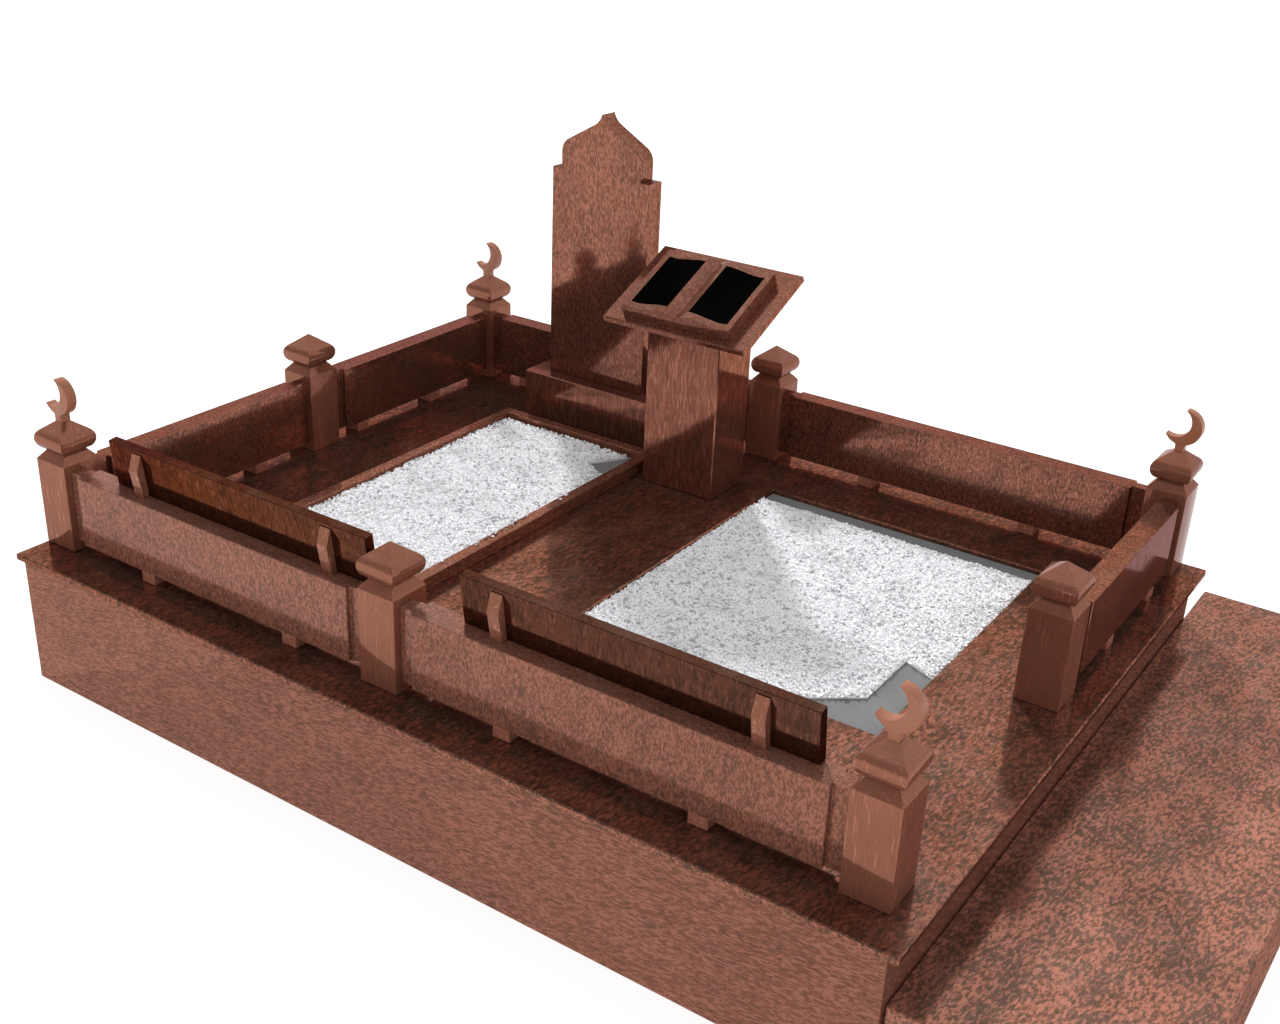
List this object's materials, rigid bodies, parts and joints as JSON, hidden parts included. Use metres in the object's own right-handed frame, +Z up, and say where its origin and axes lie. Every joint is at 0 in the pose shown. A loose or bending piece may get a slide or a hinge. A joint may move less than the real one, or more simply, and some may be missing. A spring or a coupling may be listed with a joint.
{
  "type": "double grave memorial",
  "caption": "Fenced double grave memorial of polished red granite: block base, capped posts, low panels, arched headstone, lectern with open book and beds of white chips.",
  "frame": {"origin": "centre of the bounding box's footprint, on the ground", "axes": "+Z up, +X along the front towards the step block, -Y towards the viewer standing before the front panels"},
  "size_m": [3.0243, 2.075, 1.3535],
  "materials": {
    "polished_granite": "polished red-brown granite with dark and pink grains",
    "finial_granite": "satin orange-brown granite",
    "white_chips": "loose white marble chips",
    "grey_backing": "plain grey mortar bed"
  },
  "bodies": {
    "root": {"base_plinth": "polished_granite", "bracket_left_1": "polished_granite", "bracket_left_2": "polished_granite", "bracket_right_1": "polished_granite", "bracket_right_2": "polished_granite", "crescent_left_back": "finial_granite", "crescent_left_front": "finial_granite", "crescent_right_back": "finial_granite", "crescent_right_front": "finial_granite", "deck_slab": "polished_granite", "foot_back_left_1": "polished_granite", "foot_back_left_2": "polished_granite", "foot_back_right_1": "polished_granite", "foot_back_right_2": "polished_granite", "foot_front_left_1": "polished_granite", "foot_front_left_2": "polished_granite", "foot_front_right_1": "polished_granite", "foot_front_right_2": "polished_granite", "foot_left_back_1": "polished_granite", "foot_left_back_2": "polished_granite", "foot_left_front_1": "polished_granite", "foot_left_front_2": "polished_granite", "foot_right_1": "polished_granite", "foot_right_2": "polished_granite", "headstone": "polished_granite", "headstone_plinth": "polished_granite", "lectern_book": "polished_granite", "lectern_column": "polished_granite", "lectern_plate": "polished_granite", "left_bed_backing": "grey_backing", "left_bed_chips": "white_chips", "left_bed_frame": "polished_granite", "panel_back_left": "polished_granite", "panel_back_right": "polished_granite", "panel_front_left": "polished_granite", "panel_front_right": "polished_granite", "panel_left_back": "polished_granite", "panel_left_front": "polished_granite", "panel_right": "polished_granite", "post_left_back": "polished_granite", "post_left_front": "polished_granite", "post_left_mid": "polished_granite", "post_mid_back": "polished_granite", "post_mid_front": "polished_granite", "post_right_back": "polished_granite", "post_right_front": "polished_granite", "post_right_mid": "polished_granite", "right_bed_backing": "grey_backing", "right_bed_chips": "white_chips", "step_block": "polished_granite", "tablet_left": "polished_granite", "tablet_right": "polished_granite"}
  },
  "joints": []
}
